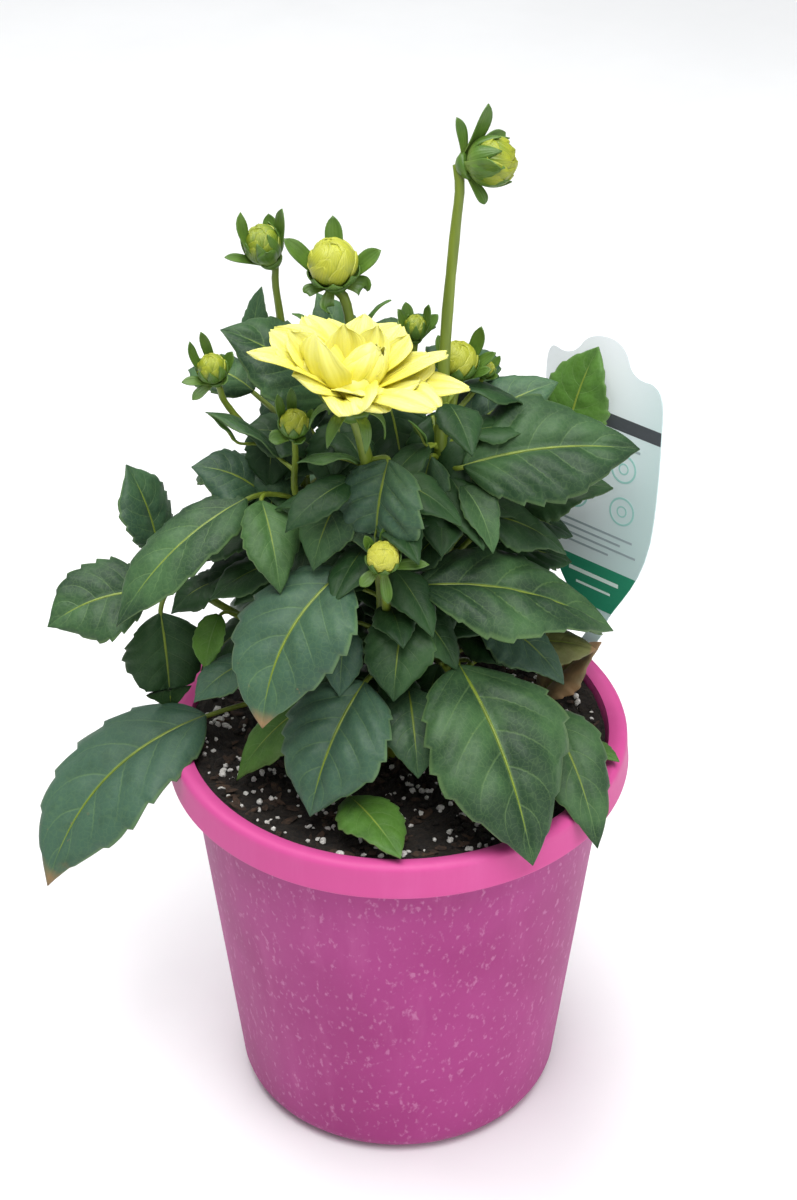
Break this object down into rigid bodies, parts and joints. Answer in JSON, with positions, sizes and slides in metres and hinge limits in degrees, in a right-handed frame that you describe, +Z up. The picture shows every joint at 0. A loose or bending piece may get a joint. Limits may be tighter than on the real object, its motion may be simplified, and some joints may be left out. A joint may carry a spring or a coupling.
{
  "type": "potted dahlia",
  "caption": "Flowering dahlia in a round tapered nursery pot: leafy stems with a double bloom and closed buds, potting mix and a plain plant tag.",
  "frame": {"origin": "centre of the pot's flat base, on its underside", "axes": "+Z up along the pot's axis; -Y towards the viewer of the picture; +X to the viewer's right, the side the plant tag stands on"},
  "size_m": [0.2594, 0.2052, 0.4647],
  "materials": {
    "pot_plastic": "satin",
    "potting_mix": "matte",
    "leaf_green": "satin",
    "petal_yellow": "matte",
    "bud_yellow_green": "satin",
    "tag_plastic": "satin"
  },
  "bodies": {
    "root": {"pot": "pot_plastic", "potting_mix": "potting_mix", "leafy_stem_right": "leaf_green", "leafy_stem_left": "leaf_green", "leafy_stem_front": "leaf_green", "leafy_stem_back": "leaf_green", "bloom": "petal_yellow", "bud_1": "bud_yellow_green", "bud_2": "bud_yellow_green", "bud_3": "bud_yellow_green", "bud_4": "bud_yellow_green", "bud_5": "bud_yellow_green", "bud_6": "bud_yellow_green", "bud_7": "bud_yellow_green", "bud_8": "bud_yellow_green", "bud_9": "bud_yellow_green", "plant_tag": "tag_plastic"}
  },
  "joints": []
}
